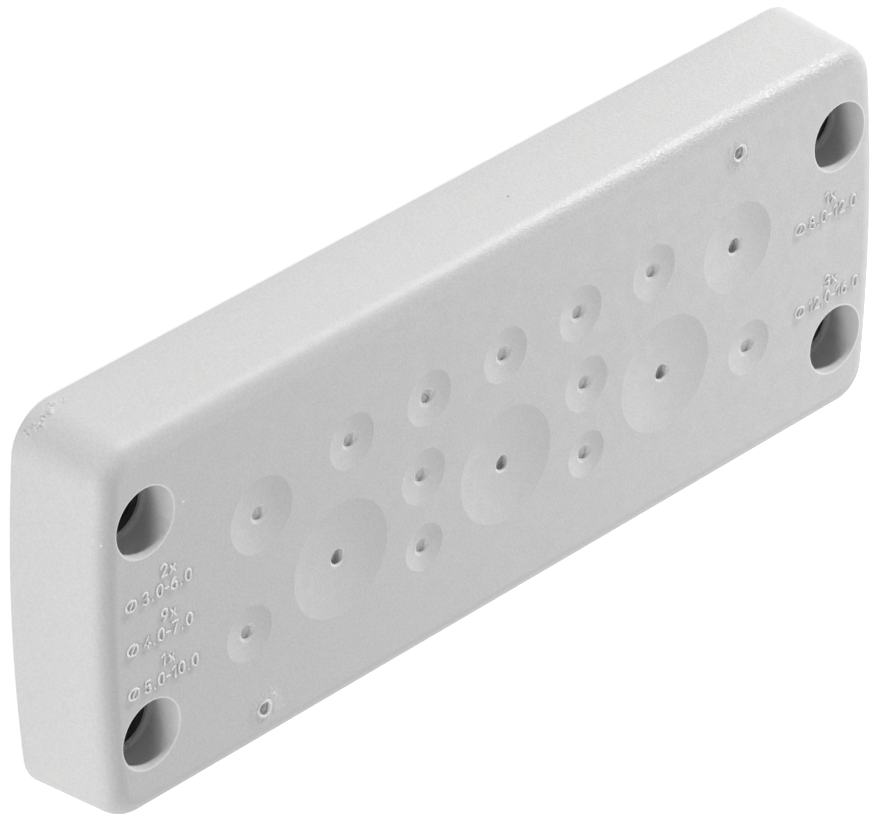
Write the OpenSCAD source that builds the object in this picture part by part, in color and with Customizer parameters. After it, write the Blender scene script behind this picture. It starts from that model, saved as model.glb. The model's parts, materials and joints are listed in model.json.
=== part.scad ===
// Cable entry plate: a soft sealing body moulded around a rigid frame.
// It lies on its mounting face with the front up. The origin is the middle of the mounting face,
// X runs along the length and Y points to the upper long side. All sizes are in millimetres.

/* [Plate] */

// Length over the bowed ends, at the back
plate_l = 148.9; // [147:0.1:154]
// Height over the long sides, at the back
plate_h = 57.7; // [56:0.1:62]
// Depth from the mounting face to the front face
plate_t = 15.2; // [14:0.1:18]
// Lean of each side from the back to the front
side_lean = 1.05; // [0.5:0.05:1.5]
// Corner radius of the outline at the back
corner_r = 6.5; // [6:0.1:9]
// How far the middle of each end stands out past the end's own corners
end_bow = 1.7; // [0.8:0.1:2.4]
// Rounding of the front edge
edge_r = 3.4; // [2:0.1:4]

/* [Membrane sizes] */

// Diameter of the nine small membranes
small_d = 8.05; // [7:0.05:8.6]
// Diameter of the two smallest membranes, near the lower side
least_d = 6.85; // [6.4:0.05:7.4]
// Diameter of the medium membrane on the left
medium_left_d = 11; // [10:0.1:12]
// Diameter of the medium membrane on the right
medium_right_d = 13.2; // [12:0.1:14]
// Diameter of the three large membranes
large_d = 17; // [16:0.1:17.6]
// Sink of the dish in a small or smallest membrane
small_sink = 0.36; // [0.2:0.02:0.6]
// Sink of the dish in a medium membrane
medium_sink = 0.46; // [0.2:0.02:0.8]
// Sink of the dish in a large membrane
large_sink = 0.52; // [0.2:0.02:0.8]
// Thickness of a membrane under the lowest point of its dish
membrane_t = 1.4; // [1.2:0.1:2]

/* [Piercing marks] */

// Diameter of the dimple in the middle of each smaller membrane
dimple_d = 2.5; // [2:0.1:3]
// Diameter of the flat at the bottom of a dimple
dimple_floor_d = 0.5; // [0.3:0.1:1]
// Depth of a dimple below the dish
dimple_depth = 0.6; // [0.4:0.05:0.9]
// Diameter of the blind hole in the middle of each larger membrane
pip_d = 2.1; // [1.6:0.1:2.4]
// Depth of a blind hole below the dish
pip_depth = 0.8; // [0.7:0.05:1]
// Width of the bevel round a blind hole
pip_bevel = 0.4; // [0.1:0.05:0.5]

/* [Membrane places] */

// Pitch of the five small membranes in the upper row
row_pitch = 14.2; // [13:0.1:14.4]
// Height of the upper row above the middle
row_y = 10.95; // [10.6:0.05:12]
// Distance of the inner small membranes from the middle
inner_x = 15.4; // [15:0.05:15.6]
// Height of the inner small membranes
inner_y = -0.5; // [-1.2:0.05:0]
// Distance of the smallest membranes from the middle
least_x = 15.4; // [14.6:0.05:16]
// Height of the smallest membranes
least_y = -11.4; // [-12.2:0.05:-11]
// Pitch of the three large membranes
large_pitch = 30.7; // [30.2:0.1:31]
// Height of the large membranes
large_y = -5.9; // [-7:0.05:-5.6]
// Distance of the outer small membranes from the middle
outer_x = 47.35; // [46.5:0.05:48.5]
// Height of the outer small membranes
outer_y = -9.3; // [-10.5:0.05:-8]
// Distance of the medium membranes from the middle
medium_x = 44.8; // [44:0.1:45.6]
// Height of the medium membranes
medium_y = 7.5; // [6.5:0.05:8.5]

/* [Screw wells] */

// Spacing of the screws along the length
screw_span_x = 130; // [129:0.1:131]
// Spacing of the screws across the height
screw_span_y = 32; // [31:0.1:33]
// Clearance hole for a screw
screw_hole_d = 6; // [5.4:0.1:6.4]
// Diameter of the well for the screw head
well_d = 9.6; // [9:0.1:10]
// Depth of the well down to its lip
well_depth = 5.2; // [4.5:0.1:6]
// Width of the bevel at the mouth of the well
well_bevel = 0.25; // [0.1:0.05:0.4]
// Diameter inside the lip over the frame
lip_d = 8.5; // [8:0.1:8.8]
// Thickness of the lip over the frame
lip_t = 0.45; // [0.3:0.05:0.8]

/* [Frame] */

// Elastomer between the frame and the narrowest part of the sides
frame_wall = 2; // [1.6:0.1:2.6]
// Corner radius of the frame
frame_r = 4; // [2:0.1:6]
// Length of the window in the frame
window_l = 108; // [107:0.1:110]
// Height of the window in the frame
window_h = 35; // [34.4:0.1:36]
// Corner radius of the window
window_r = 3; // [2:0.1:6]
// Elastomer between the frame and the mounting face
gasket_t = 1.4; // [1:0.1:2.5]
// Diameter of the boss round each screw hole
boss_d = 9; // [8.9:0.1:9.4]
// How far the bosses stop short of the mounting face
boss_short = 0.4; // [0.2:0.05:0.8]

/* [Gate marks] */

// Distance of the gate marks from the middle, along the length
gate_x = 44.9; // [40:0.1:46]
// Distance of the gate marks from the middle, across the height
gate_y = 22.1; // [20:0.1:22.6]
// Diameter of a gate mark
gate_d = 1.9; // [1.4:0.1:2.2]
// Depth of a gate mark
gate_depth = 0.3; // [0.1:0.05:0.6]

/* [Hidden] */

$fn = 96;
// Fineness of the wide arcs
arc_fn = 1440;
// How far a cutter reaches past the face that it cuts
over = 1;
// How far the cutter of a piercing mark reaches past the dish
mark_past = 0.05;

half_l = plate_l / 2;
half_h = plate_h / 2;
// Height where the edge rounding starts, and its centre's distance from the outline at the back
edge_z = plate_t - edge_r;
edge_in = round(1000 * (edge_r + side_lean * edge_z / plate_t)) / 1000;

// Each end is a wide arc, which trims the corner arcs where they pass it
end_r = (half_h * half_h + end_bow * end_bow) / (2 * end_bow);
end_x = half_l - end_r;
corner_past = 0.06;
corner_y = half_h - corner_r;
corner_run = sqrt(pow(end_r - corner_r + corner_past, 2) - corner_y * corner_y);
corner_x = round(100 * (end_x + corner_run)) / 100;

seat_z = plate_t - well_depth - lip_t;
frame_l = plate_l - 2 * (end_bow + side_lean + frame_wall);
frame_h = plate_h - 2 * (side_lean + frame_wall);

// Each membrane as [x, y, diameter, sink, whether a blind hole marks it]
membranes = [
    for (i = [-2:2]) [i * row_pitch, row_y, small_d, small_sink, false],
    for (s = [-1, 1]) [s * inner_x, inner_y, small_d, small_sink, false],
    for (s = [-1, 1]) [s * outer_x, outer_y, small_d, small_sink, false],
    for (s = [-1, 1]) [s * least_x, least_y, least_d, small_sink, false],
    for (i = [-1:1]) [i * large_pitch, large_y, large_d, large_sink, true],
    [-medium_x, medium_y, medium_left_d, medium_sink, false],
    [medium_x, medium_y, medium_right_d, medium_sink, true]
];

// Section of the plate, width wide, with its leaning and rounded side at the radius outer
module side_section(width, outer) {
    translate([outer - edge_in, edge_z]) {
        polygon([
            [edge_in - width, -edge_z],
            [edge_in, -edge_z],
            [edge_r, 0],
            [0, 0],
            [0, edge_r],
            [edge_in - width, edge_r]
        ]);
        intersection() {
            circle(r = edge_r);
            square(2 * edge_r);
        }
    }
}

// The plate between its corners
module middle_block() {
    translate([-corner_x, 0, 0])
        rotate([90, 0, 90])
            linear_extrude(2 * corner_x) {
                side_section(half_h, half_h);
                mirror([1, 0])
                    side_section(half_h, half_h);
            }
}

// The upper right corner
module corner_block() {
    translate([corner_x, corner_y, 0])
        rotate_extrude(angle = 90)
            side_section(corner_r, corner_r);
}

// The plate with round corners, a little too long at both ends
module long_form() {
    middle_block();
    translate([-half_l - over, -corner_y, 0])
        cube([plate_l + 2 * over, 2 * corner_y, plate_t]);
    for (x = [0, 1])
        for (y = [0, 1])
            mirror([x, 0, 0])
                mirror([0, y, 0])
                    corner_block();
}

// Wide sector whose rim is the bowed right end
module end_sector() {
    translate([end_x, 0, 0])
        rotate([0, 0, -60])
            rotate_extrude(angle = 120, $fn = arc_fn)
                side_section(plate_l + end_bow, end_r);
}

// The outer form of the plate, without any hole
module plate_form() {
    intersection() {
        long_form();
        end_sector();
        mirror([1, 0, 0])
            end_sector();
    }
}

// Height of a dish above its lowest point, at the distance r from its middle
function dish_rise(ball_r, r) = ball_r - sqrt(ball_r * ball_r - r * r);

// Half section of a dimple in a dish whose lowest point is at height 0
module dimple_section(ball_r) {
    floor_r = dimple_floor_d / 2;
    rim = dimple_d / 2;
    slope = (dish_rise(ball_r, rim) + dimple_depth) / (rim - floor_r);
    top = dish_rise(ball_r, rim) + mark_past * slope;
    polygon([
        [0, -dimple_depth],
        [floor_r, -dimple_depth],
        [rim + mark_past, top],
        [0, top]
    ]);
}

// Half section of a blind hole in such a dish
module pip_section(ball_r) {
    rim = pip_d / 2 + pip_bevel;
    top = dish_rise(ball_r, rim);
    polygon([
        [0, -pip_depth],
        [pip_d / 2, -pip_depth],
        [pip_d / 2, top - pip_bevel],
        [rim + mark_past, top + mark_past],
        [0, top + mark_past]
    ]);
}

// Cutter for a dish in the front face, with the mark where it is pierced
module dish_cut(d, sink, holed) {
    ball_r = (d * d / 4 + sink * sink) / (2 * sink);
    translate([0, 0, plate_t - sink])
        rotate_extrude() {
            intersection() {
                translate([0, ball_r])
                    circle(r = ball_r, $fn = arc_fn);
                translate([0, -over])
                    square([d, sink + 2 * over]);
            }
            if (holed)
                pip_section(ball_r);
            else
                dimple_section(ball_r);
        }
}

// Cutter for the pocket behind a membrane
module pocket_cut(d, sink) {
    translate([0, 0, -over])
        cylinder(d = d, h = plate_t - sink - membrane_t + over);
}

// Cutter for a screw well, down to the frame
module well_cut() {
    mouth = well_d / 2 + well_bevel + over;
    rotate_extrude()
        polygon([
            [0, seat_z],
            [lip_d / 2, seat_z],
            [lip_d / 2, seat_z + lip_t],
            [well_d / 2, seat_z + lip_t],
            [well_d / 2, plate_t - well_bevel],
            [mouth, plate_t + over],
            [0, plate_t + over]
        ]);
}

// Places its children at the four screws
module at_screws() {
    for (x = [-1, 1])
        for (y = [-1, 1])
            translate([x * screw_span_x / 2, y * screw_span_y / 2, 0])
                children();
}

// Rectangle with round corners, centred
module round_rect(l, h, r) {
    square([l - 2 * r, h], center = true);
    square([l, h - 2 * r], center = true);
    for (x = [-1, 1])
        for (y = [-1, 1])
            translate([x * (l / 2 - r), y * (h / 2 - r)])
                circle(r = r);
}

// The frame without its screw holes, with bosses that start at boss_z
module frame_form(boss_z) {
    translate([0, 0, gasket_t])
        linear_extrude(seat_z - gasket_t)
            difference() {
                round_rect(frame_l, frame_h, frame_r);
                round_rect(window_l, window_h, window_r);
            }
    at_screws()
        translate([0, 0, boss_z])
            cylinder(d = boss_d, h = seat_z - boss_z);
}

// Soft body with the membranes, the wells and the gasket face
module sealing_body() {
    color([0.74, 0.74, 0.74])
        difference() {
            plate_form();
            frame_form(-over);
            for (m = membranes)
                translate([m[0], m[1], 0]) {
                    dish_cut(m[2], m[3], m[4]);
                    pocket_cut(m[2], m[3]);
                }
            at_screws()
                well_cut();
            for (s = [-1, 1])
                translate([s * gate_x, s * gate_y, plate_t - gate_depth])
                    cylinder(d = gate_d, h = gate_depth + over);
        }
}

// Rigid frame inside the soft body, bare at the screw wells
module support_frame() {
    color([0.06, 0.06, 0.06])
        difference() {
            frame_form(boss_short);
            at_screws()
                translate([0, 0, -over])
                    cylinder(d = screw_hole_d, h = plate_t);
        }
}

sealing_body();
support_frame();
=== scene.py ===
import json
import math

import bpy
from mathutils import Matrix, Vector
from mathutils.geometry import delaunay_2d_cdt

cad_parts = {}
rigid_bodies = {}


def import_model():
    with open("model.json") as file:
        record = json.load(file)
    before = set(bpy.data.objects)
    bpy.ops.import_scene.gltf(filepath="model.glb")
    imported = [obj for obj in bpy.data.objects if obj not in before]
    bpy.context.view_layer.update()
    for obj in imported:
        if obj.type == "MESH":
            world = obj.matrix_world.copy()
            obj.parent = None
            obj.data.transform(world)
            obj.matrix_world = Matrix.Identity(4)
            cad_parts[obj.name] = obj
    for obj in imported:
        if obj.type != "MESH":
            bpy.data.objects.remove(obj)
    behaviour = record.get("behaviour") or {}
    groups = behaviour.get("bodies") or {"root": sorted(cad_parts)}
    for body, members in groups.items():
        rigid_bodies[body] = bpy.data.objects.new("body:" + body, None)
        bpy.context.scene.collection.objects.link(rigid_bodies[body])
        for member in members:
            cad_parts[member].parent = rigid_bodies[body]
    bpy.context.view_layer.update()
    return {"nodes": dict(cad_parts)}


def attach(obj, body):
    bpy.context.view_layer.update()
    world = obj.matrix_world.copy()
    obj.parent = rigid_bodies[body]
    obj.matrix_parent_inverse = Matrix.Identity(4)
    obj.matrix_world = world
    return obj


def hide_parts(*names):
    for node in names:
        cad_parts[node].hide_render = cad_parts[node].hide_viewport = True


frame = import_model()
print("frame in:", ", ".join(sorted(frame["nodes"])))

scene = bpy.context.scene
scene.view_settings.view_transform = "Standard"
metre = 0.001  # all sizes below are in millimetres


# outer form of the soft body

plate = {
    "length": 148.9,
    "height": 57.7,
    "depth": 15.2,
    "lean": 1.05,        # each side leans in this much towards the front
    "cornerR": 6.5,
    "bow": 1.7,          # the ends stand out in the middle
    "edgeR": 3.4,        # front edge
    "backR": 0.25,       # back edge
    "patchTurn": 52,     # degrees up the front edge where the front face takes over
    "endSteps": 24,
    "cornerSteps": 18,
    "sideSteps": 28,
    "backSteps": 6,
    "edgeSteps": 9,      # below and above patchTurn alike
}

halfL = plate["length"] / 2
halfH = plate["height"] / 2
depth = plate["depth"]
cornerR = plate["cornerR"]
edgeR = plate["edgeR"]
endR = (halfH ** 2 + plate["bow"] ** 2) / (2 * plate["bow"])
endX = halfL - endR
cornerY = halfH - cornerR
cornerX = endX + math.sqrt((endR - cornerR) ** 2 - cornerY ** 2)
cornerTurn = math.atan2(cornerY, cornerX - endX)
leanTurn = math.atan2(plate["lean"], depth)
edgeZ = depth - edgeR
edgeIn = (edgeR + edgeZ * math.sin(leanTurn)) / math.cos(leanTurn)


class Form:
    # points with the true normals of the surface, so the shading stays smooth
    def __init__(self):
        self.points = []
        self.normals = []
        self.shadeAndSheen = []  # 1 full painted shade, 0 none, below zero a painted highlight
        self.faces = []

    def add(self, point, normal, shadeAndSheen=0.0):
        self.points.append(Vector(point))
        self.normals.append(Vector(normal).normalized())
        self.shadeAndSheen.append(shadeAndSheen)
        return len(self.points) - 1

    def face(self, *corners):
        p = [self.points[c] for c in corners]
        across = (p[2] - p[0]).cross(p[-1] - p[1])
        facing = sum((self.normals[c] for c in corners), Vector())
        self.faces.append(corners if across.dot(facing) >= 0 else corners[::-1])

    def bridge(self, ringA, ringB):
        count = len(ringA)
        for k in range(count):
            j = (k + 1) % count
            self.face(ringA[k], ringA[j], ringB[j], ringB[k])

    def fan(self, ring, tip):
        for k in range(len(ring)):
            self.face(ring[k], ring[(k + 1) % len(ring)], tip)

    def build(self, name, material):
        mesh = bpy.data.meshes.new(name)
        mesh.from_pydata([p * metre for p in self.points], [], self.faces)
        mesh.shade_smooth()
        mesh.normals_split_custom_set_from_vertices([tuple(n) for n in self.normals])
        mesh.attributes.new("shadeAndSheen", "FLOAT", "POINT").data.foreach_set("value", self.shadeAndSheen)
        mesh.materials.append(material)
        piece = bpy.data.objects.new(name, mesh)
        scene.collection.objects.link(piece)
        return piece


def outlinePoints():
    quarter = []
    for k in range(plate["endSteps"]):
        turn = cornerTurn * k / plate["endSteps"]
        c, s = math.cos(turn), math.sin(turn)
        quarter.append((endX + endR * c, endR * s, c, s))
    for k in range(plate["cornerSteps"]):
        turn = cornerTurn + (math.pi / 2 - cornerTurn) * k / plate["cornerSteps"]
        c, s = math.cos(turn), math.sin(turn)
        quarter.append((cornerX + cornerR * c, cornerY + cornerR * s, c, s))
    for k in range(plate["sideSteps"] + 1):
        quarter.append((cornerX * (1 - k / plate["sideSteps"]), halfH, 0.0, 1.0))
    upperLeft = [(-x, y, -nx, ny) for x, y, nx, ny in reversed(quarter)][1:]
    lowerLeft = [(-x, -y, -nx, -ny) for x, y, nx, ny in quarter][1:]
    lowerRight = [(x, -y, nx, -ny) for x, y, nx, ny in reversed(quarter)][1:-1]
    return quarter + upperLeft + lowerLeft + lowerRight


outline = outlinePoints()


def outlineRing(form, out, z, nOut, nUp):
    # out is measured outwards from the outline at the back
    return [form.add((x + out * nx, y + out * ny, z), (nx * nOut, ny * nOut, nUp))
            for x, y, nx, ny in outline]


def arcTurns(first, last, steps):
    return [first + (last - first) * k / steps for k in range(steps + 1)]


def insetAt(x, y):
    # distance in from the outline, and the way out to it
    sx, sy = math.copysign(1, x), math.copysign(1, y)
    ax, ay = abs(x), abs(y)
    vx, vy = ax - cornerX, ay - cornerY
    if vx > 0 and vy > 0 and math.atan2(vy, vx) >= cornerTurn:
        far = math.hypot(vx, vy)
        return cornerR - far, sx * vx / far, sy * vy / far
    far = math.hypot(ax - endX, ay)
    if halfH - ay < endR - far:
        return halfH - ay, 0.0, sy
    return endR - far, sx * (ax - endX) / far, sy * ay / far


def frontPoint(x, y):
    inset, nx, ny = insetAt(x, y)
    if inset >= edgeIn:
        return depth, (0, 0, 1)
    t = min((edgeIn - inset) / edgeR, 0.999)
    up = math.sqrt(1 - t * t)
    return edgeZ + edgeR * up, (nx * t, ny * t, up)


# membranes, wells and marks in the front face

membranes = {
    "small": {"d": 8.05, "sink": 0.36, "steps": 64, "rim": 0.072, "mark": "dimple",
              "places": [(-28.4, 10.95), (-14.2, 10.95), (0, 10.95), (14.2, 10.95), (28.4, 10.95),
                         (-15.4, -0.5), (15.4, -0.5), (-47.35, -9.3), (47.35, -9.3)]},
    "least": {"d": 6.85, "sink": 0.36, "steps": 60, "rim": 0.072, "mark": "dimple",
              "places": [(-15.4, -11.4), (15.4, -11.4)]},
    "mediumLeft": {"d": 11.0, "sink": 0.46, "steps": 80, "rim": 0.077, "mark": "dimple",
                   "places": [(-44.8, 7.5)]},
    "mediumRight": {"d": 13.2, "sink": 0.46, "steps": 88, "rim": 0.077, "mark": "hole",
                    "places": [(44.8, 7.5)]},
    "large": {"d": 17.0, "sink": 0.52, "steps": 100, "rim": 0.083, "mark": "hole",
              "places": [(-30.7, -5.9), (0, -5.9), (30.7, -5.9)]},
}

dish = {"membraneT": 1.4, "rimRows": 5, "rowStep": 0.55, "leastRows": 5}

# the wall and floor values paint shade into the holes, the lip value paints a highlight on their lips
pierceMarks = {  # the lip turns from lipStart to turn, in degrees
    "dimple": {"d": 3.1, "depth": 0.45, "lip": 0.66, "lipStart": 12, "turn": 50, "floorR": 0.45,
               "lipSheen": 0.45, "wallShade": 0.04, "floorShade": 0.0},
    "hole": {"d": 3.0, "depth": 0.8, "lip": 0.46, "lipStart": 12, "turn": 82, "floorR": 0.22,
             "lipSheen": 0.7, "wallShade": 0.32, "floorShade": 0.04},
}

well = {
    "places": [(-65, -16), (-65, 16), (65, -16), (65, 16)],
    "d": 9.9, "depth": 5.2, "mouthR": 0.12, "mouthStart": 15, "wallRows": (1.4, 3),
    "footR": 0.22, "lipD": 8.5, "lipT": 0.45, "lipR": 0.1, "bossD": 9.0, "steps": 96,
}

gateMark = {
    "places": [(44.9, 22.1), (-44.9, -22.1)],
    "d": 1.9, "depth": 0.22, "rimW": 0.38, "rimUp": 0.14, "rimRows": 8, "footR": 0.14,
    "nubR": 0.55, "nubUp": 0.15, "nubFoot": 1.15, "nubRows": 5,
    "wobble": 0.05, "clear": 1.4, "steps": 60,
}

pocket = {"softR": 0.2, "softStart": 20, "topR": 0.4, "bossDeep": 0.9, "bossSteps": 64}

sheet = {  # the flat faces between the holes
    "step": 4.0, "clear": 0.35, "edgeClear": 0.25, "keep": 0.995,
    "frontLeast": 1.2, "backLeast": 1.5,
}


def circle(steps):
    turns = [2 * math.pi * k / steps for k in range(steps)]
    return [(math.cos(turn), math.sin(turn)) for turn in turns]


def revolve(form, x, y, ring, profile, tip=True, wobble=0.0):
    # profile points are (radius, height, normal outwards, normal up) and a painted shade value where there is
    # some, below zero a painted highlight
    count = len(ring)
    ways = circle(count)
    three, five, fiveShare = 18.85, 31.42, 0.6  # three and five waves round the ring
    uneven = [1 + wobble * (math.sin(three * k / count + x) + fiveShare * math.sin(five * k / count + y))
              for k in range(count)]
    for r, z, nOut, nUp, *shadeAndSheen in profile:
        nextRing = [form.add((x + r * c * w, y + r * s * w, z), (nOut * c, nOut * s, nUp), *shadeAndSheen)
                    for (c, s), w in zip(ways, uneven)]
        form.bridge(ring, nextRing)
        ring = nextRing
    if tip:
        form.fan(ring, form.add((x, y, profile[-1][1]), (0, 0, profile[-1][3]), *profile[-1][4:]))
    return ring


def blindHole(top, bottom, pierce):
    # lip, wall and floor of a small hole that opens upwards, with painted shade on the wall and floor and a
    # painted highlight on the lip (below zero)
    lip, floor = pierce["lip"], pierce["floorR"]
    first, last = math.radians(pierce["lipStart"]), math.radians(pierce["turn"])
    rows = []
    for a in arcTurns(first, last, 8):
        turn = (a - first) / (last - first)
        hollowShade = pierce["wallShade"] * max(0.0, 2 * turn - 1)
        rubbedAndLipSheen = pierce["lipSheen"] * max(0.0, math.sin(2 * math.pi * turn))
        rows.append((pierce["d"] / 2 - lip * math.sin(a), top - lip + lip * math.cos(a),
                     -math.sin(a), math.cos(a), hollowShade - rubbedAndLipSheen))
    drop = rows[-1][1] - bottom - floor * (1 - math.cos(last))
    flat = rows[-1][0] - drop / math.tan(last) - floor * math.sin(last)
    for a in arcTurns(last, 0, 6):
        share = a / last
        rows.append((flat + floor * math.sin(a), bottom + floor - floor * math.cos(a),
                     -math.sin(a), math.cos(a),
                     pierce["wallShade"] * share + pierce["floorShade"] * (1 - share)))
    rows.append((flat * 0.5, bottom, 0, 1, pierce["floorShade"]))
    return rows


def dishProfile(d, sink, rim, mark):
    r = d / 2
    rise = 2 * sink * (r - rim) / r ** 2
    rows = []
    for k in range(1, dish["rimRows"] + 1):  # soft rim
        at = r + rim - 2 * rim * k / dish["rimRows"]
        slope = rise * (r + rim - at) / (2 * rim)
        rows.append((at, depth - slope * (r + rim - at) / 2, -slope, 1))
    rimZ = rows[-1][1]
    pierce = pierceMarks[mark]
    mouth = pierce["d"] / 2
    count = max(dish["leastRows"], round((r - rim - mouth) / dish["rowStep"]))
    for k in range(1, count + 1):  # the dish itself
        at = r - rim + (mouth - r + rim) * k / count
        z = rimZ - sink / r ** 2 * ((r - rim) ** 2 - at ** 2)
        rows.append((at, z, -2 * sink * at / r ** 2, 1))
    bottom = depth - sink - pierce["depth"]
    return rows + blindHole(rows[-1][1], bottom, pierce)


def footRows(r, floor, foot, steps):
    # round foot between a wall and a floor
    return [(r - foot + foot * math.cos(a), floor + foot - foot * math.sin(a), -math.cos(a), math.sin(a))
            for a in arcTurns(0, math.pi / 2, steps)]


def gateProfile():
    r, wide, up = gateMark["d"] / 2, gateMark["rimW"], gateMark["rimUp"]
    rows = []
    for k in range(1, gateMark["rimRows"] + 1):  # raised rim of flash
        t = k / gateMark["rimRows"]
        slope = up / wide * math.pi * math.sin(2 * math.pi * t)
        rows.append((r + wide * (1 - t), depth + up * math.sin(math.pi * t) ** 2, slope, 1))
    foot, floor = gateMark["footR"], depth - gateMark["depth"]
    rows += footRows(r, floor, foot, 4)
    nub, high = gateMark["nubR"], gateMark["nubUp"]
    for k in range(gateMark["nubRows"] + 1):  # torn stub in the middle
        t = k / gateMark["nubRows"]
        slope = high / nub * math.pi / 2 * math.sin(math.pi * t)
        rows.append((nub * (gateMark["nubFoot"] - t), floor + high * (1 - math.cos(math.pi * t)) / 2, slope, 1))
    return rows


def wellPatch(form, x, y, loop):
    r, mouth, foot = well["d"] / 2, well["mouthR"], well["footR"]
    ways = circle(len(loop))
    tops = [form.points[k].z for k in loop]
    ring = loop
    for a in arcTurns(math.radians(well["mouthStart"]), math.pi / 2, 6):
        at, drop = r + mouth * (1 - math.sin(a)), mouth * (1 - math.cos(a))
        nextRing = [form.add((x + at * c, y + at * s, top - drop),
                             (-c * math.sin(a), -s * math.sin(a), math.cos(a)))
                    for (c, s), top in zip(ways, tops)]
        form.bridge(ring, nextRing)
        ring = nextRing
    ledge = depth - well["depth"]
    lip, edge = well["lipD"] / 2, well["lipR"]
    rows = [(r, depth - down, -1, 0) for down in well["wallRows"]]
    rows += footRows(r, ledge, foot, 5)
    rows += [(lip + edge - edge * math.sin(a), ledge - edge + edge * math.cos(a), -math.sin(a), math.cos(a))
             for a in arcTurns(0, math.pi / 2, 4)]
    rows.append((lip, ledge - well["lipT"], -1, 0))
    revolve(form, x, y, ring, rows, tip=False)


def fillFace(form, border, holes, spare):
    # one flat sheet between the border and the round holes (x, y, r, loop)
    ids = list(border) + [k for hole in holes for k in hole[3]] + list(spare)
    place = {k: n for n, k in enumerate(ids)}
    edges = []
    for loop in [border] + [hole[3] for hole in holes]:
        edges += [(place[loop[k]], place[loop[(k + 1) % len(loop)]]) for k in range(len(loop))]
    flat = [Vector((form.points[k].x, form.points[k].y)) for k in ids]
    made = delaunay_2d_cdt(flat, edges, [], 0, 1e-6)
    for tri in made[2]:
        at = sum((made[0][k] for k in tri), Vector((0, 0))) / len(tri)
        if any(math.hypot(at.x - x, at.y - y) < r * sheet["keep"] for x, y, r, _ in holes):
            continue
        form.face(*[ids[made[3][k][0]] for k in tri])


def spareGrid(form, z, normal, holes, least):
    # even points on the flat part of a face, clear of its holes
    step = sheet["step"]
    clear = step * sheet["clear"]
    found = []
    for i in range(-int(halfL / step), int(halfL / step) + 1):
        for j in range(-int(halfH / step), int(halfH / step) + 1):
            x, y = i * step, j * step
            free = all(math.hypot(x - a, y - b) > r + clear for a, b, r, _ in holes)
            if free and insetAt(x, y)[0] > least:
                found.append(form.add((x, y, z), normal))
    return found


def loopAt(form, x, y, r, z, normal, steps):
    return [form.add((x + r * c, y + r * s, z), normal) for c, s in circle(steps)]


def softMouth(r):
    # rounded edge of a hole in the back face
    soft = pocket["softR"]
    return [(r + soft - soft * math.sin(a), soft - soft * math.cos(a), -math.sin(a), -math.cos(a))
            for a in arcTurns(math.radians(pocket["softStart"]), math.pi / 2, 4)]


def makeBody(material):
    form = Form()
    # sides, from the back edge up into the front edge
    backR = plate["backR"]
    backOut = -backR * (1 + math.sin(leanTurn)) / math.cos(leanTurn)
    rows = [(backOut + backR * math.cos(a), backR + backR * math.sin(a), math.cos(a), math.sin(a))
            for a in arcTurns(-math.pi / 2, leanTurn, plate["backSteps"])]
    patchTurn = math.radians(plate["patchTurn"])
    rows += [(-edgeIn + edgeR * math.cos(a), edgeZ + edgeR * math.sin(a), math.cos(a), math.sin(a))
             for a in arcTurns(leanTurn, patchTurn, plate["edgeSteps"])]
    rings = [outlineRing(form, *row) for row in rows]
    for lower, upper in zip(rings, rings[1:]):
        form.bridge(lower, upper)

    # loops of the holes in the front
    holes = []
    for kind in membranes.values():
        r = kind["d"] / 2 + kind["rim"]
        for x, y in kind["places"]:
            loop = loopAt(form, x, y, r, depth, (0, 0, 1), kind["steps"])
            revolve(form, x, y, loop, dishProfile(kind["d"], kind["sink"], kind["rim"], kind["mark"]))
            holes.append((x, y, r, loop))
    r = gateMark["d"] / 2 + gateMark["rimW"] * gateMark["clear"]
    for x, y in gateMark["places"]:
        loop = loopAt(form, x, y, r, depth, (0, 0, 1), gateMark["steps"])
        revolve(form, x, y, loop, gateProfile(), wobble=gateMark["wobble"])
        holes.append((x, y, r, loop))
    r = well["d"] / 2 + well["mouthR"]
    for x, y in well["places"]:
        loop = []
        for c, s in circle(well["steps"]):
            z, normal = frontPoint(x + r * c, y + r * s)
            loop.append(form.add((x + r * c, y + r * s, z), normal))
        wellPatch(form, x, y, loop)
        holes.append((x, y, r, loop))

    # rest of the front edge and the flat front
    spare = []
    for a in arcTurns(patchTurn, math.pi / 2, plate["edgeSteps"])[1:]:
        out = -edgeIn + edgeR * math.cos(a)
        for x, y, nx, ny in outline:
            px, py = x + out * nx, y + out * ny
            if all(math.hypot(px - hx, py - hy) > hr + sheet["edgeClear"] for hx, hy, hr, _ in holes):
                spare.append(form.add((px, py, edgeZ + edgeR * math.sin(a)),
                                      (nx * math.cos(a), ny * math.cos(a), math.sin(a))))
    spare += spareGrid(form, depth, (0, 0, 1), holes, edgeIn + sheet["frontLeast"])
    fillFace(form, rings[-1], holes, spare)

    # back face with the pockets behind the membranes and the boss holes
    holes, soft, topR = [], pocket["softR"], pocket["topR"]
    for kind in membranes.values():
        r = kind["d"] / 2
        top = depth - kind["sink"] - dish["membraneT"]
        wall = softMouth(r) + [(r, top * 0.5, -1, 0)]
        wall += [(r - topR + topR * math.cos(a), top - topR + topR * math.sin(a), -math.cos(a), -math.sin(a))
                 for a in arcTurns(0, math.pi / 2, 4)]
        wall.append((r * 0.5, top, 0, -1))
        for x, y in kind["places"]:
            loop = loopAt(form, x, y, r + soft, 0, (0, 0, -1), kind["steps"])
            revolve(form, x, y, loop, wall)
            holes.append((x, y, r + soft, loop))
    r = well["bossD"] / 2
    for x, y in well["places"]:
        loop = loopAt(form, x, y, r + soft, 0, (0, 0, -1), pocket["bossSteps"])
        revolve(form, x, y, loop, softMouth(r) + [(r, pocket["bossDeep"], -1, 0)], tip=False)
        holes.append((x, y, r + soft, loop))
    fillFace(form, rings[0], holes, spareGrid(form, 0, (0, 0, -1), holes, sheet["backLeast"]))
    return form.build("soft_body", material)


# raised size legends

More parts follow.
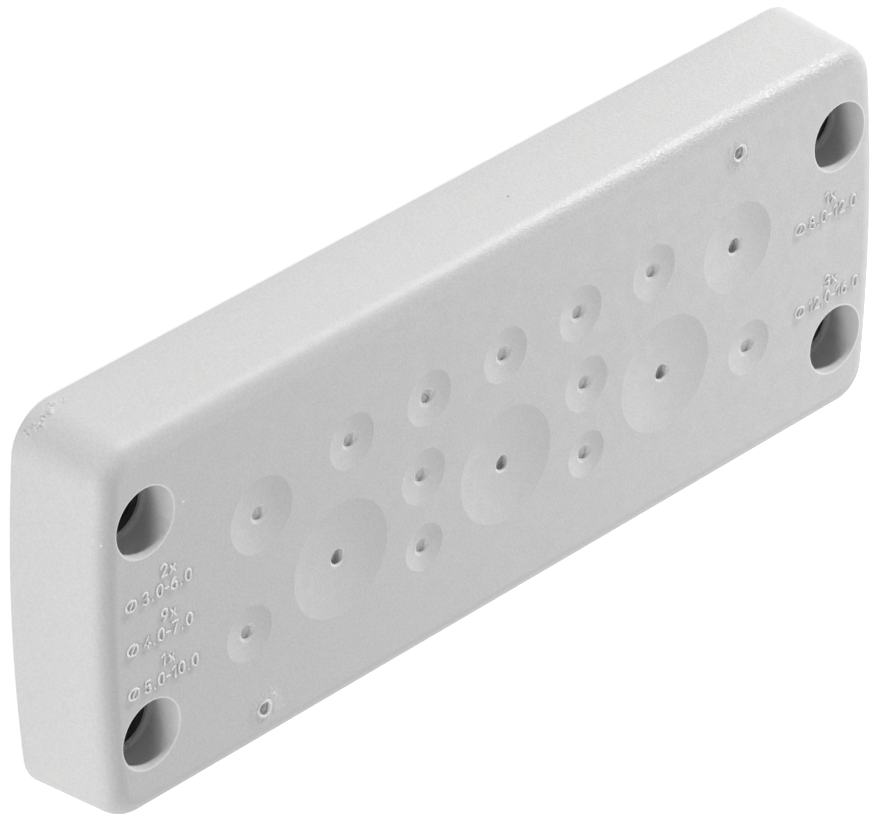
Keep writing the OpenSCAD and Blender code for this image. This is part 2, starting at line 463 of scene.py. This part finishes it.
legends = {
    "height": 1.7, "stroke": 0.44, "rise": 0.21, "sunk": 0.004,
    "across": 8, "endTurns": (0.5, 1.0, 1.45),  # steps over a bead, and rows of its round ends
    "lines": [  # words, middle of the first and the last sign, middle height
        ("2x", -62.1, -60.6, 7.5), ("o 3.0-6.0", -67.9, -57.9, 4.85),
        ("9x", -62.2, -60.7, 0.85), ("o 4.0-7.0", -67.85, -57.9, -1.8),
        ("1x", -62.5, -61.2, -5.75), ("o 5.0-10.0", -67.85, -57.1, -8.45),
        ("1x", 62.7, 63.95, 7.4), ("o 8.0-12.0", 57.35, 68.05, 4.8),
        ("3x", 63.1, 64.5, -5.8), ("o 12.0-16.0", 57.6, 68.8, -8.35),
    ],
}


def bend(cx, cy, rx, ry, first, last, steps=14):
    return [(cx + rx * math.cos(math.radians(a)), cy + ry * math.sin(math.radians(a)))
            for a in arcTurns(first, last, steps)]


def signStrokes():
    # strokes round the middle of a sign, one high
    six = [bend(0, -0.2, 0.27, 0.3, 0, 360, 24), bend(0.33, -0.16, 0.6, 0.66, 180, 108, 10)]
    return {
        "0": [bend(0, 0, 0.28, 0.5, 0, 360, 28)],
        "1": [[(-0.2, 0.28), (0.06, 0.5), (0.06, -0.5)]],
        "2": [bend(0, 0.23, 0.27, 0.27, 168, -38) + [(-0.27, -0.5), (0.28, -0.5)]],
        "3": [bend(-0.02, 0.26, 0.25, 0.24, 150, -90), bend(-0.02, -0.24, 0.28, 0.26, 90, -150)],
        "4": [[(0.14, -0.5), (0.14, 0.5), (-0.29, -0.2), (0.31, -0.2)]],
        "5": [[(0.24, 0.5), (-0.17, 0.5), (-0.22, 0.06)] + bend(-0.01, -0.19, 0.28, 0.31, 128, -150)],
        "6": six,
        "7": [[(-0.28, 0.5), (0.28, 0.5), (-0.1, -0.5)]],
        "8": [bend(0, 0.26, 0.23, 0.24, 0, 360, 22), bend(0, -0.24, 0.28, 0.26, 0, 360, 24)],
        "9": [[(-x, -y) for x, y in stroke] for stroke in six],
        "x": [[(-0.22, -0.5), (0.22, 0.08)], [(0.22, -0.5), (-0.22, 0.08)]],
        "-": [[(-0.15, -0.08), (0.15, -0.08)]],
        ".": [[(0, -0.5), (0, -0.46)]],
        "o": [bend(0, 0, 0.52, 0.47, 0, 360, 30), [(-0.2, -0.38), (0.22, 0.4)]],
        " ": [],
    }


def strokeRidge(form, line):
    # a low round bead along a line of points
    half, rise, base = legends["stroke"] / 2, legends["rise"], depth - legends["sunk"]
    across, endTurns = legends["across"], legends["endTurns"]
    pts = [Vector(p) for p in line]
    shut = (pts[0] - pts[-1]).length < 1e-6
    if shut:
        pts = pts[:-1]
    count = len(pts)
    rings = []

    def section(at, along, scale):
        side = Vector((-along.y, along.x))
        row = []
        for k in range(across + 1):
            u = 2 * k / across - 1
            p = at + side * (u * half * scale)
            n = side * (rise * math.pi / 2 / half * math.sin(math.pi * u))
            z = base + rise * scale * math.cos(math.pi * u / 2) ** 2
            row.append(form.add((p.x, p.y, z), (n.x, n.y, 1)))
        return row

    for k in range(count):
        back = pts[k] - pts[k - 1] if shut or k else None
        ahead = pts[(k + 1) % count] - pts[k] if shut or k < count - 1 else None
        ways = [v.normalized() for v in (back, ahead) if v is not None]
        along = sum(ways, Vector((0, 0))).normalized()
        if not shut and k == 0:
            rings += [section(pts[k] - along * half * math.sin(b), along, math.cos(b)) for b in endTurns[::-1]]
        rings.append(section(pts[k], along, 1.0))
        if not shut and k == count - 1:
            rings += [section(pts[k] + along * half * math.sin(b), along, math.cos(b)) for b in endTurns]
    pairs = list(zip(rings, rings[1:])) + ([(rings[-1], rings[0])] if shut else [])
    for a, b in pairs:
        for k in range(across):
            form.face(a[k], a[k + 1], b[k + 1], b[k])


def makeLegends(material):
    form = Form()
    signs = signStrokes()
    high = legends["height"]
    for words, first, last, middleY in legends["lines"]:
        advance = (last - first) / (len(words) - 1)
        for k, c in enumerate(words):
            for line in signs[c]:
                middleX = first + k * advance
                strokeRidge(form, [(middleX + px * high, middleY + py * high) for px, py in line])
    return form.build("size_legends", material)


# finishes

class Finish:
    # short ways to wire a material
    def __init__(self, name):
        self.material = bpy.data.materials.new(name)
        self.material.use_nodes = True
        self.tree = self.material.node_tree
        self.shader = self.tree.nodes["Principled BSDF"]
        self.place = self.tree.nodes.new("ShaderNodeTexCoord").outputs["Object"]

    def node(self, kind, values=None, **settings):
        made = self.tree.nodes.new(kind)
        for key, value in settings.items():
            setattr(made, key, value)
        for key, value in (values or {}).items():
            if isinstance(value, bpy.types.NodeSocket):
                self.tree.links.new(value, made.inputs[key])
            else:
                made.inputs[key].default_value = value
        return made

    def noise(self, scale, detail=2.0, roughness=0.5):
        values = {"Vector": self.place, "Scale": scale, "Detail": detail, "Roughness": roughness}
        return self.node("ShaderNodeTexNoise", values).outputs["Fac"]

    def span(self, value, low, high, first, last, smooth=True):
        values = {"Value": value, "From Min": low, "From Max": high, "To Min": first, "To Max": last}
        kind = "SMOOTHSTEP" if smooth else "LINEAR"
        return self.node("ShaderNodeMapRange", values, interpolation_type=kind).outputs["Result"]

    def math(self, operation, a, b):
        return self.node("ShaderNodeMath", {0: a, 1: b}, operation=operation).outputs[0]

    def vector(self, operation, a, b, output="Vector"):
        return self.node("ShaderNodeVectorMath", {0: a, 1: b}, operation=operation).outputs[output]

    def away(self, x, y, z):
        return self.vector("DISTANCE", self.place, (x * metre, y * metre, z * metre), "Value")

    def near(self, x, y, z, inner, outer):
        # 1 within inner of the point, 0 past outer
        return self.span(self.away(x, y, z), inner * metre, outer * metre, 1.0, 0.0)

    def along(self, start, end, wide, core=0.3):
        # 1 on the line between two points, 0 past its width
        start, end = Vector(start) * metre, Vector(end) * metre
        way = end - start
        out = self.vector("SUBTRACT", self.place, start)
        share = self.vector("DOT_PRODUCT", out, way / way.length_squared, "Value")
        share = self.span(share, 0.0, 1.0, 0.0, 1.0, smooth=False)
        foot = self.node("ShaderNodeVectorMath", {0: way, "Scale": share}, operation="SCALE").outputs["Vector"]
        away = self.vector("DISTANCE", out, foot, "Value")
        return self.span(away, wide * core * metre, wide * metre, 1.0, 0.0)

    def most(self, values):
        whole = values[0]
        for value in values[1:]:
            whole = self.math("MAXIMUM", whole, value)
        return whole

    def bump(self, height, distance):
        values = {"Height": height, "Distance": distance * metre, "Strength": 1.0}
        return self.node("ShaderNodeBump", values).outputs["Normal"]

    def mix(self, factor, a, b):
        made = self.node("ShaderNodeMix", data_type="RGBA")
        for socket, value in zip((made.inputs[0], made.inputs[6], made.inputs[7]), (factor, a, b)):
            if isinstance(value, bpy.types.NodeSocket):
                self.tree.links.new(value, socket)
            else:
                socket.default_value = value
        return made.outputs[2]

    def wire(self, **sockets):
        for key, value in sockets.items():
            self.tree.links.new(value, self.shader.inputs[key.replace("_", " ")])


softGrey = {
    "light": (0.648, 0.648, 0.645, 1), "dark": (0.592, 0.592, 0.590, 1),
    "speck": (0.16, 0.15, 0.14, 1), "shadeAndSheen": (0.24, 0.24, 0.235, 1), "pale": (0.86, 0.86, 0.86, 1),
    "rough": (0.50, 0.56), "specular": 0.40,
    "noiseSpan": (0.3, 0.7),  # what most of a noise lies between
    "grainSize": 0.36, "grainNoise": (2.0, 0.6), "grainUp": 0.022,
    "peelSize": 1.6, "peelNoise": (3.0, 0.55), "peelUp": 0.003,
    "edgeX": (-40, 50), "edgeY": (25.6, 26.8), "edgeRough": 0.31, "edgeGrainUp": 0.13,  # rubbed upper edge
    "topSheen": (15.24, 15.34, 0.8),  # painted highlight: what stands out of the front is paler on top
    "mouth": (4.96, 5.02, 5.14, 5.3),  # painted highlight round the mouths of the wells, from radius to radius
    "mouthZ": (14.2, 14.6), "mouthSheen": 0.8,
    "gateRing": (0.9, 0.98, 1.14, 1.26), "gateDarkR": (0.7, 0.9), "gateDark": 0.4,
    "scuffR": (1.4, 3.4), "scuffScale": 1500.0, "scuffNoise": (3.0, 0.6), "scuffUp": 0.22,
    "darkSpots": [(8.3, 28.3, 7.8, 0.1, 0.2)],  # place, inner and outer radius
    "paleSpots": [(-58.4, 16.0, 15.2, 0.1, 0.3), (-71.9, 15.5, 14.4, 0.08, 0.26),
                  (-43.2, -20.5, 15.2, 0.14, 0.3), (-41.6, -23.2, 15.2, 0.06, 0.2),
                  (46.6, 20.4, 15.2, 0.06, 0.2)],
    "darkLines": [((-15.0, 11.6, 14.75), (-14.1, 11.1, 14.35), 0.16),  # ends and width
                  ((-14.1, 11.1, 14.35), (-13.6, 10.4, 14.5), 0.13)],
    "paleLines": [((44.7, 28.3, 8.2), (44.9, 28.2, 10.4), 0.14), ((19.0, 28.5, 4.9), (20.1, 28.4, 6.6), 0.12),
                  ((36.1, 28.5, 5.0), (36.5, 28.4, 6.4), 0.1), ((28.2, 28.6, 4.6), (28.8, 28.5, 5.5), 0.1),
                  ((-33.0, -3.1, 14.95), (-27.6, -9.6, 14.95), 0.09)],
    "darkLineShare": 0.75, "paleLineShare": 0.3,
    "corner": [(-67.6, 28.7, 1.7, 1.0), (-70.7, 27.4, 2.4, 1.1), (-69.8, 28.0, 2.2, 0.8),
               (-65.9, 28.7, 1.95, 0.7), (-68.65, 28.4, 2.45, 0.8),
               (-71.7, 26.55, 1.6, 0.9)],  # rubbed spots and their radius
    "cornerCore": 0.3, "fleckScale": 2400.0, "fleckNoise": (3.0, 0.7),
    "paleFlecks": (0.54, 0.60, 0.0, 1.0), "darkFlecks": (0.44, 0.38, 0.0, 0.6),
}


def ringMask(f, away, radii):
    a, b, c, d = (r * metre for r in radii)
    return f.math("MULTIPLY", f.span(away, a, b, 0.0, 1.0), f.span(away, c, d, 1.0, 0.0))


def rampMask(f, value, limits):
    return f.span(value, limits[0] * metre, limits[1] * metre, 0.0, 1.0)


def softGreyFinish():
    f = Finish("soft_grey_elastomer")
    f.shader.inputs["Specular IOR Level"].default_value = softGrey["specular"]
    grain = f.noise(1000 / softGrey["grainSize"], *softGrey["grainNoise"])
    peel = f.noise(1000 / softGrey["peelSize"], *softGrey["peelNoise"])
    colour = f.mix(f.span(grain, *softGrey["noiseSpan"], 0.0, 1.0), softGrey["dark"], softGrey["light"])
    # painted shade in the walls and floors of the small holes, from the per-point value of the mesh
    shadeAndSheen = f.node("ShaderNodeAttribute", attribute_name="shadeAndSheen").outputs["Fac"]
    colour = f.mix(shadeAndSheen, colour, softGrey["shadeAndSheen"])

    # painted highlight on the edges of the wells: the four are alike, so one distance does
    folded = f.node("ShaderNodeVectorMath", {0: f.place}, operation="ABSOLUTE").outputs["Vector"]
    folded = f.vector("MULTIPLY", folded, (1, 1, 0))
    wellX, wellY = well["places"][-1]
    wellAway = f.vector("DISTANCE", folded, (wellX * metre, wellY * metre, 0), "Value")
    across, up, high = f.node("ShaderNodeSeparateXYZ", {0: f.place}).outputs
    mouth = f.math("MULTIPLY", ringMask(f, wellAway, softGrey["mouth"]), rampMask(f, high, softGrey["mouthZ"]))
    pale = f.math("MULTIPLY", mouth, softGrey["mouthSheen"])

    # painted highlight on the tops of what stands out, and on the lips of the piercing marks
    low, top, share = softGrey["topSheen"]
    topSheen = f.span(high, low * metre, top * metre, 0.0, share)
    pale = f.most([pale, topSheen, f.math("MULTIPLY", shadeAndSheen, -1.0)])

    # rims of the gate marks and the scuffs round them
    gateAway = f.math("MINIMUM", *[f.away(x, y, depth) for x, y in gateMark["places"]])
    pale = f.most([pale, ringMask(f, gateAway, softGrey["gateRing"])])
    inner, outer = (r * metre for r in softGrey["scuffR"])
    scuff = f.span(gateAway, inner, outer, 1.0, 0.0)

    # rubbed spots at one corner, specks and fine lines
    rubbedAndLipSheen = f.most([f.near(x, y, z, r * softGrey["cornerCore"], r) for x, y, z, r in softGrey["corner"]])
    flecks = f.noise(softGrey["fleckScale"], *softGrey["fleckNoise"])
    pale = f.most([pale, f.math("MULTIPLY", rubbedAndLipSheen, f.span(flecks, *softGrey["paleFlecks"]))])
    pale = f.most([pale] + [f.near(*spot) for spot in softGrey["paleSpots"]])
    faint = f.most([f.along(*line) for line in softGrey["paleLines"]])
    faint = f.math("MULTIPLY", faint, softGrey["paleLineShare"])
    colour = f.mix(f.most([pale, faint]), colour, softGrey["pale"])
    dark = f.math("MULTIPLY", rubbedAndLipSheen, f.span(flecks, *softGrey["darkFlecks"]))
    dark = f.most([dark] + [f.near(*spot) for spot in softGrey["darkSpots"]])
    # darker inside the gate marks
    inner, outer = (r * metre for r in softGrey["gateDarkR"])
    dark = f.most([dark, f.span(gateAway, inner, outer, softGrey["gateDark"], 0.0)])
    lines = f.most([f.along(*line) for line in softGrey["darkLines"]])
    lines = f.math("MULTIPLY", lines, softGrey["darkLineShare"])
    colour = f.mix(f.most([dark, lines]), colour, softGrey["speck"])

    # the upper front edge is rubbed smoother towards the right, with a coarser sparkle
    rubbedEdge = f.math("MULTIPLY", rampMask(f, across, softGrey["edgeX"]), rampMask(f, up, softGrey["edgeY"]))
    rough = f.span(peel, *softGrey["noiseSpan"], *softGrey["rough"])
    rough = f.math("ADD", f.math("MULTIPLY", rough, f.math("SUBTRACT", 1.0, rubbedEdge)),
                   f.math("MULTIPLY", rubbedEdge, softGrey["edgeRough"]))
    grainUp = f.span(rubbedEdge, 0.0, 1.0, softGrey["grainUp"], softGrey["edgeGrainUp"], smooth=False)
    torn = f.math("MULTIPLY", f.most([scuff, rubbedAndLipSheen]), f.noise(softGrey["scuffScale"], *softGrey["scuffNoise"]))
    height = f.math("ADD", f.math("MULTIPLY", grain, grainUp), f.math("MULTIPLY", torn, softGrey["scuffUp"]))
    normal = f.bump(f.math("ADD", height, f.math("MULTIPLY", peel, softGrey["peelUp"])), 1.0)
    f.wire(Base_Color=colour, Roughness=rough, Normal=normal)
    return f.material


darkFrame = {
    "light": (0.009, 0.009, 0.010, 1), "dark": (0.005, 0.005, 0.006, 1), "rough": (0.42, 0.6),
    "noiseSpan": (0.3, 0.7), "mottleScale": 400.0, "mottleDetail": 3.0, "grainSize": 0.3, "grainUp": 0.008,
}


def darkFrameFinish():
    f = Finish("dark_rigid_frame")
    mottle = f.noise(darkFrame["mottleScale"], darkFrame["mottleDetail"])
    shade = f.span(mottle, *darkFrame["noiseSpan"], 0.0, 1.0)
    f.wire(Base_Color=f.mix(shade, darkFrame["dark"], darkFrame["light"]),
           Roughness=f.span(mottle, *darkFrame["noiseSpan"], *darkFrame["rough"]),
           Normal=f.bump(f.noise(1000 / darkFrame["grainSize"]), darkFrame["grainUp"]))
    return f.material


softGreyMaterial = softGreyFinish()
body = makeBody(softGreyMaterial)
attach(body, "root")
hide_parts("sealing_body")
print("soft body:", len(body.data.polygons), "faces")

words = makeLegends(softGreyMaterial)
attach(words, "root")
print("legends:", len(words.data.polygons), "faces")

frameNode = frame["nodes"]["support_frame"]
frameNode.data.materials.clear()
frameNode.data.materials.append(darkFrameFinish())
print("frame finish on")


# floor, light and camera

studio = {
    "floor": (0.86, 0.86, 0.86, 1), "floorSize": 6.0, "floorZ": -0.0002, "floorRough": 0.9,
    "floorLift": 0.62,
    "ambient": 0.12,
    "lamps": [  # name, place, aim, width and height, power
        ("upper", (0.5975, 1.2251, 0.2159), (0, 0, 0.01), (0.75, 0.07), 4.0),
        ("edge", (0.8392, 1.0741, 0.2159), (0, 0, 0.01), (0.5, 0.07), 12.2),
        ("left", (-1.0747, -0.288, 0.4495), (0, 0, 0.01), (0.9, 0.3), 7.8),
        ("end", (-1.1505, 0.3083, 0.1462), (0, 0, 0.01), (0.7, 0.25), 3.4),
        ("lower", (0.32, -0.55, 0.18), (0.01, 0, 0.01), (0.5, 0.2), 0.5),
        ("front", (0.62, -0.30, 0.42), (0, 0, 0.015), (0.35, 0.35), 3.1),
    ],
}


def makeFloor():
    half = studio["floorSize"] / 2
    mesh = bpy.data.meshes.new("studio_floor")
    corners = [(-half, -half, 0), (half, -half, 0), (half, half, 0), (-half, half, 0)]
    mesh.from_pydata(corners, [], [(0, 1, 2, 3)])
    floor = bpy.data.objects.new("studio_floor", mesh)
    floor.location.z = studio["floorZ"]
    scene.collection.objects.link(floor)
    f = Finish("pale_floor")
    f.shader.inputs["Base Color"].default_value = studio["floor"]
    f.shader.inputs["Roughness"].default_value = studio["floorRough"]
    f.shader.inputs["Specular IOR Level"].default_value = 0.0
    # what the camera and reflections see is lifted to white, and the shadow stays in it
    path = f.tree.nodes.new("ShaderNodeLightPath")
    seen = f.most([path.outputs[ray] for ray in ("Is Camera Ray", "Is Glossy Ray", "Is Transmission Ray")])
    f.shader.inputs["Emission Color"].default_value = (1, 1, 1, 1)
    f.tree.links.new(f.math("MULTIPLY", seen, studio["floorLift"]), f.shader.inputs["Emission Strength"])
    mesh.materials.append(f.material)


def makeWorld():
    world = bpy.data.worlds.new("studio")
    world.use_nodes = True
    tree = world.node_tree
    back = tree.nodes["Background"]
    back.inputs["Color"].default_value = (1, 1, 1, 1)
    path = tree.nodes.new("ShaderNodeLightPath")
    seen = path.outputs["Is Camera Ray"]
    for other in ("Is Glossy Ray", "Is Transmission Ray"):
        joined = tree.nodes.new("ShaderNodeMath")
        joined.operation = "MAXIMUM"
        tree.links.new(seen, joined.inputs[0])
        tree.links.new(path.outputs[other], joined.inputs[1])
        seen = joined.outputs[0]
    level = tree.nodes.new("ShaderNodeMapRange")
    level.inputs["To Min"].default_value = studio["ambient"]
    level.inputs["To Max"].default_value = 1.0
    tree.links.new(seen, level.inputs["Value"])
    tree.links.new(level.outputs["Result"], back.inputs["Strength"])
    scene.world = world


def makeLamps():
    for name, place, aim, size, power in studio["lamps"]:
        lamp = bpy.data.lights.new(name + "_lamp", "AREA")
        lamp.shape = "RECTANGLE"
        lamp.size, lamp.size_y = size
        lamp.energy = power
        holder = bpy.data.objects.new(name + "_lamp", lamp)
        holder.location = place
        holder.rotation_euler = (Vector(aim) - Vector(place)).to_track_quat("-Z", "Y").to_euler()
        scene.collection.objects.link(holder)


view = {
    "place": (-0.6433851, 0.5674648, 0.6277048), "aim": (-0.01245, 0.008336, 0.0152), "roll": -0.386,
    "lens": 331.79, "sensor": 36, "clip": (0.05, 20),
}


def makeCamera():
    camera = bpy.data.cameras.new("camera")
    camera.lens = view["lens"]
    camera.sensor_fit = "HORIZONTAL"
    camera.sensor_width = view["sensor"]
    camera.clip_start, camera.clip_end = view["clip"]
    holder = bpy.data.objects.new("camera", camera)
    place = Vector(view["place"])
    ahead = (Vector(view["aim"]) - place).normalized()
    right = ahead.cross(Vector((0, 1, 0))).normalized()
    up = right.cross(ahead)
    roll = math.radians(view["roll"])
    c, s = math.cos(roll), math.sin(roll)
    right, up = right * c + up * s, up * c - right * s
    turned = Matrix((right, up, -ahead)).transposed().to_4x4()
    holder.matrix_world = Matrix.Translation(place) @ turned
    scene.collection.objects.link(holder)
    scene.camera = holder


makeFloor()
makeWorld()
makeLamps()
makeCamera()
print("studio ready")
